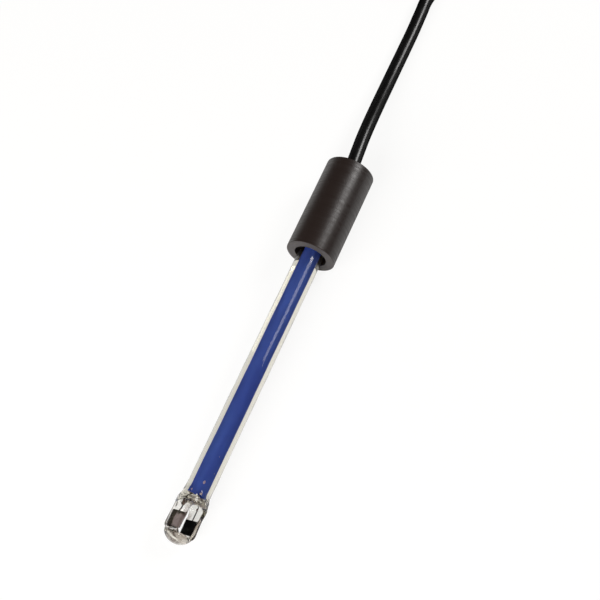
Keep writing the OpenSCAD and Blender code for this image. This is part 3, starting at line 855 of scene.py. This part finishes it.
def collar():
    """A pale ring round the left lead, as a painted highlight."""
    body = Rings()
    for a in angles(40):
        thick = 0.10 + 0.07 * cos(a - 2.4)
        points = []
        for b in angles(10):
            r, z = COLLAR_R + thick * cos(b), COLLAR_Z + 0.25 * cos(a) + thick * sin(b)
            points.append((COLLAR_X + r * cos(a), COLLAR_Y + r * sin(a), z))
        body.add(points)
    body.close()
    new_mesh("lead_collar_highlight", body.verts, body.faces, "clear_glass", 80, mat=COLLAR_HIGHLIGHT)


collar()


HAZE_R, HAZE_HALF, HAZE_OFF, HAZE_Z = 4.3, 0.25, -0.2, 20.15


def haze():
    """The thin cloudy layer in the septum, between the chamber's ceiling and the end of the bore."""
    def place(lat, lon):
        reach = HAZE_R * (1 + 0.22 * noise.noise(Vector((2 * cos(lon), 2 * sin(lon), 7))))
        p = Vector((reach * sin(lat) * cos(lon), reach * sin(lat) * sin(lon), HAZE_HALF * cos(lat)))
        p += shake(p, 0.9, 0.25)
        return p.x + HAZE_OFF, p.y + HAZE_OFF, p.z + HAZE_Z

    body = Rings()
    body.add_ball(10, 48, place)
    new_mesh("septum_haze", body.verts, body.faces, "blue_resin", 80, mat=HAZE)


haze()


# The seals' middle is SEAL_RISE above SEAL_Z on the right and as much below it on the left.
SEAL_OUT, SEAL_Z, SEAL_RISE = 4.7, 17.2, 0.5


def seals():
    """A bead round each lead where it goes into the septum, dark brown as painted shade."""
    body = Rings()
    for side, fat in ((-1, 1.45), (1, 0.6)):
        def place(lat, lon):
            p = Vector((0.5 * sin(lat) * cos(lon), 0.6 * sin(lat) * sin(lon), 1.2 * cos(lat))) * fat
            p += shake(p + Vector((side * 5, 0, 0)), 0.9, 0.25)
            return side * (SEAL_OUT + p.x - 0.2 * p.z), side * p.y, SEAL_Z + SEAL_RISE * side + p.z

        body.add_ball(12, 24, place)
    new_mesh("lead_seal_shades", body.verts, body.faces, "clear_glass", 80, mat=SEAL_SHADE)


seals()


# The cap, turned from one bar, with its counterbore and its stepped bore.
def cap():
    recess_high = STEM_LEN + RECESS_DEPTH
    corners = [
        (CAP_R, STEM_LEN, CAP_EDGE), (CAP_R, CAP_HIGH, CAP_EDGE),
        (CABLE_HOLE_R, CAP_HIGH, 0.25), (CABLE_HOLE_R, JOINT_HIGH, 0.05),
        (JOINT_R, JOINT_HIGH, 0.05), (JOINT_R, JOINT_LOW, 0.05),
        (SEAT_R, JOINT_LOW, 0.05), (SEAT_R, recess_high, 0.1),
        (RECESS_R, recess_high, 0.15), (RECESS_R, STEM_LEN, 0.18),
    ]
    turned = Rings()
    for r, z in rounded([(r, z) for r, z, _ in corners], [edge for _, _, edge in corners], 5):
        turned.add(circle(r, z, angles(192)))
    turned.close()
    obj = new_mesh("cap_turned", turned.verts, turned.faces, "turned_plastic", 40)

    def faced(place, way):
        return min(abs(place.z - STEM_LEN), abs(place.z - CAP_HIGH)) < 0.1 and abs(way.z) > 0.9

    second_material(obj, FACED_AND_LIT, faced)
    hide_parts("cap")


cap()

# CAD nodes that are shown as they are, with their slots' materials.
PLUG_NODES = ("plug_boot", "plug_grip", "plug_shell", "plug_clamp", "plug_insert", "plug_pins")
SLOTS = {row["node"]: row["material_slot"] for row in frame["record"]["subparts"]}
for name in ("electrode_a", "electrode_b", "lead_wire_a", "lead_wire_b", "splice_a", "splice_b",
             "core_wire_a", "core_wire_b", "stem_seal", "stem_cement", "cable_ferrule", *PLUG_NODES):
    node = frame["nodes"][name]
    node.data.materials.clear()
    node.data.materials.append(MATS[SLOTS[name]])
    for polygon in node.data.polygons:
        polygon.material_index = 0

# The plates are blackened in front, where they face each other, and bare metal behind.
PLATE_EDGE = 0.08
for name in ("electrode_a", "electrode_b"):
    node = frame["nodes"][name]
    second_material(node, PLATE_BACK,
                    lambda place, way: way.dot(Vector((place.x, place.y, 0)).normalized()) > 0.7)
    bevel = node.modifiers.new("edges", "BEVEL")
    bevel.width = PLATE_EDGE * MM
    bevel.segments = 2
    bevel.limit_method = "ANGLE"

# The weld is the low end of each lead, next to its plate.
WELD_HIGH, WELD_OUT = 12.2, 4.9
for name in ("lead_wire_a", "lead_wire_b"):
    second_material(frame["nodes"][name], WELD,
                    lambda place, way: place.z < WELD_HIGH and hypot(place.x, place.y) > WELD_OUT)


# The cable: along the route, then into the folded hank, then up into the plug.
FLOOR_LINE = CABLE_R + 0.1
ROUTE = [
    (0, 0, 1), (-0.6, 6.5, 1.01), (-1.2, 13.5, 0.99), (-1.9, 21.5, 0.92),
    (-2.5, 30.5, 0.8), (-3.1, 40.5, 0.62), (-3.7, 51.5, 0.41), (-4.2, 63.5, 0.22), (-4.6, 76.5, 0.08),
    (-4.8, 89.5, 0.02), (-5, 102.5, 0), (-5.4, 114.5, 0), (-5.5, 126.5, 0),
]
HANK_X, HANK_RUN, BEND = -25.0, 80.0, 21.0
HANK_OUT = BEND + 3 * CABLE_R + 0.1
HANK_NEAR = EXIT_Y + ROUTE[-1][1] + HANK_OUT - 1
HANK_FAR = HANK_NEAR + HANK_RUN
BIG_BEND, TOP_BEND = BEND + 2 * CABLE_R, BEND + CABLE_R
TIE_A_Y, TIE_B_Y = HANK_NEAR + 34, HANK_FAR - 10
PLUG_X, PLUG_Z = HANK_X - TOP_BEND, 14.45
BOOT_START = HANK_FAR - 27

# The upper turn's height over the low ones in its far bend, in its run and where it crosses them.
UPPER_LIFT, RUN_LIFT, CROSS_LIFT = 6.15, 6.55, 7.1
UPPER_Z = FLOOR_LINE + UPPER_LIFT
CLIMB = [(4, 0.03), (8, 0.2), (13, 0.52), (18, 0.82), (23, 0.98), (29, 1), (39, 1)]

# How far a tie lifts the runs, over its own width and in a slope beside it.
TIE_UP, TIE_FLAT, TIE_SLOPE = 0.95, 2.5, 16


def cable_points():
    pts = [Vector((0, EXIT_Y - JACKET_IN * cos(TILT), EXIT_Z - JACKET_IN * sin(TILT)))]
    for x, y, part in ROUTE:
        pts.append(Vector((x, EXIT_Y + y, FLOOR_LINE + part * (EXIT_Z - FLOOR_LINE))))

    def arc(centre_y, degrees, radius, height):
        for a in degrees:
            r = radius(a) if callable(radius) else radius
            z = height(a) if callable(height) else height
            pts.append(Vector((HANK_X + r * cos(radians(a)), centre_y + r * sin(radians(a)), z)))

    def run(x, ys, height, tie_y):
        for y in ys:
            lift = TIE_UP * (1 - ease((abs(y - tie_y) - TIE_FLAT) / TIE_SLOPE))
            pts.append(Vector((x, y, height + lift)))

    up = [HANK_NEAR + d for d in (10, 20, 30, 34, 38, 48, 58, 70)]
    down = [HANK_FAR - d for d in (6, 10, 14, 24, 36, 50, 65)]
    far_bend, near_bend = range(0, 181, 20), range(180, 361, 15)
    arc(HANK_NEAR, (-30, -15, 0), BIG_BEND, FLOOR_LINE)
    run(HANK_X + BIG_BEND, up, FLOOR_LINE, TIE_A_Y)
    arc(HANK_FAR, far_bend, BIG_BEND, FLOOR_LINE)
    run(HANK_X - BIG_BEND, down, FLOOR_LINE, TIE_B_Y)
    arc(HANK_NEAR, near_bend, lambda a: BIG_BEND - 2 * CABLE_R * ease((a - 240) / 90), FLOOR_LINE)
    run(HANK_X + BEND, up, FLOOR_LINE, TIE_A_Y)
    arc(HANK_FAR, far_bend, BEND, FLOOR_LINE)
    run(HANK_X - BEND, down, FLOOR_LINE, TIE_B_Y)
    arc(HANK_NEAR, near_bend, lambda a: BEND + CABLE_R * ease((a - 285) / 85),
        lambda a: (FLOOR_LINE + CROSS_LIFT * ease((a - 180) / 120)
                   - (CROSS_LIFT - RUN_LIFT) * ease((a - 320) / 50)))
    run(HANK_X + TOP_BEND, up, FLOOR_LINE + RUN_LIFT, TIE_A_Y)
    arc(HANK_FAR, far_bend, TOP_BEND, UPPER_Z)
    for d, part in CLIMB:
        pts.append(Vector((PLUG_X, HANK_FAR - d, UPPER_Z + part * (PLUG_Z - UPPER_Z))))
    pts.append(Vector((PLUG_X, BOOT_START - 34, PLUG_Z)))
    return pts


def cable():
    data = bpy.data.curves.new("cable", "CURVE")
    data.dimensions = "3D"
    data.resolution_u = 10
    data.bevel_depth = CABLE_R * MM
    data.bevel_resolution = 7
    data.use_fill_caps = True
    pts = cable_points()
    spline = data.splines.new("BEZIER")
    spline.bezier_points.add(len(pts) - 1)
    for point, p in zip(spline.bezier_points, pts):
        point.co = p * MM
        point.handle_left_type = point.handle_right_type = "AUTO"
    data.materials.append(MATS["cable_jacket"])
    obj = link(bpy.data.objects.new("cable_whole", data))
    bpy.context.view_layer.update()
    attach(obj, "root")
    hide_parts("cable_run", "cable_hank", "cable_tail")
    return obj


cable_obj = cable()

# A tie's section beside the cable, as inner and outer distance, half its width and its edge.
TIE_IN, TIE_OUT, TIE_HALF, TIE_EDGE = 0.12, 0.85, 2.0, 0.18
TIE_LOW_Z, TIE_A_TOP, TIE_B_TOP = FLOOR_LINE + TIE_UP, FLOOR_LINE + RUN_LIFT + TIE_UP, 11.7


def tie(name, node, x, y, top):
    """A flat band pulled round two low runs and one on top: the hull of their circles."""
    runs = [Vector((-CABLE_R, TIE_LOW_Z)), Vector((CABLE_R, TIE_LOW_Z)), Vector((0, top))]
    section = rounded([(TIE_IN, -TIE_HALF), (TIE_IN, TIE_HALF), (TIE_OUT, TIE_HALF), (TIE_OUT, -TIE_HALF)],
                      [TIE_EDGE] * 4, 2)
    band = Rings()
    for a in range(0, 360, 6):
        way = Vector((cos(radians(a)), sin(radians(a))))
        centre = max(runs, key=lambda run: run.dot(way))
        places = [(centre + way * (CABLE_R + off), along) for off, along in section]
        band.add([(x + q.x, y + along, q.y) for q, along in places])
    band.close()
    obj = new_mesh(name, band.verts, band.faces, "tie_plastic", 50, place=Matrix.Identity(4))
    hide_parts(node)
    return obj


tie_a = tie("tie_right", "hank_tie_a", HANK_X + TOP_BEND, TIE_A_Y, TIE_A_TOP)
tie_b = tie("tie_left", "hank_tie_b", PLUG_X, TIE_B_Y, TIE_B_TOP)

# Floor and light, in metres
FLOOR_HALF, FLOOR_SINK = 20, 0.0002
WORLD_COLOUR = (0.075, 0.070, 0.066, 1)

corners = [(-1, -1, 0), (1, -1, 0), (1, 1, 0), (-1, 1, 0)]
floor_mesh = bpy.data.meshes.new("floor")
floor_mesh.from_pydata([Vector(corner) * FLOOR_HALF for corner in corners], [], [(0, 1, 2, 3)])
floor_mesh.materials.append(floor_white())
floor = link(bpy.data.objects.new("floor", floor_mesh))
floor.location.z = -FLOOR_SINK

world = bpy.data.worlds.new("world")
world.use_nodes = True
world.node_tree.nodes["Background"].inputs["Color"].default_value = WORLD_COLOUR
world.node_tree.nodes["Background"].inputs["Strength"].default_value = 1.0
bpy.context.scene.world = world


def lamp(name, place, aim, size, power, colour):
    """A soft box whose second side runs along the cell as far as its tilt allows."""
    data = bpy.data.lights.new(name, "AREA")
    data.shape = "RECTANGLE"
    data.size, data.size_y = size
    data.energy = power
    data.color = colour
    obj = link(bpy.data.objects.new(name, data))
    away = (Vector(place) - Vector(aim)).normalized()
    side = Vector((0, 1, 0)).cross(away).normalized()
    axes = Matrix((side, away.cross(side), away)).transposed().to_4x4()
    obj.matrix_world = Matrix.Translation(place) @ axes
    return obj


KEY_WHITE, FRONT_WHITE = (1, 0.99, 0.98), (1, 0.995, 0.985)
lamp("key", (0.67, 0.90, 0.95), (0.0, 0.05, 0), (0.46, 0.64), 8.0, KEY_WHITE)
lamp("key_low", (0.67, 0.49, 0.95), (0.0, 0.0, 0), (0.46, 0.18), 1.0, KEY_WHITE)
lamp("key_high", (0.67, 1.40, 0.95), (0.0, 0.14, 0), (0.46, 0.32), 3.4, KEY_WHITE)

# The front lamp isn't mirrored, because its image would whiten the glass head.
front = lamp("front", (-0.3, -1.0, 0.75), (0, 0, 0), (0.9, 0.7), 22, FRONT_WHITE)
front.visible_glossy = False
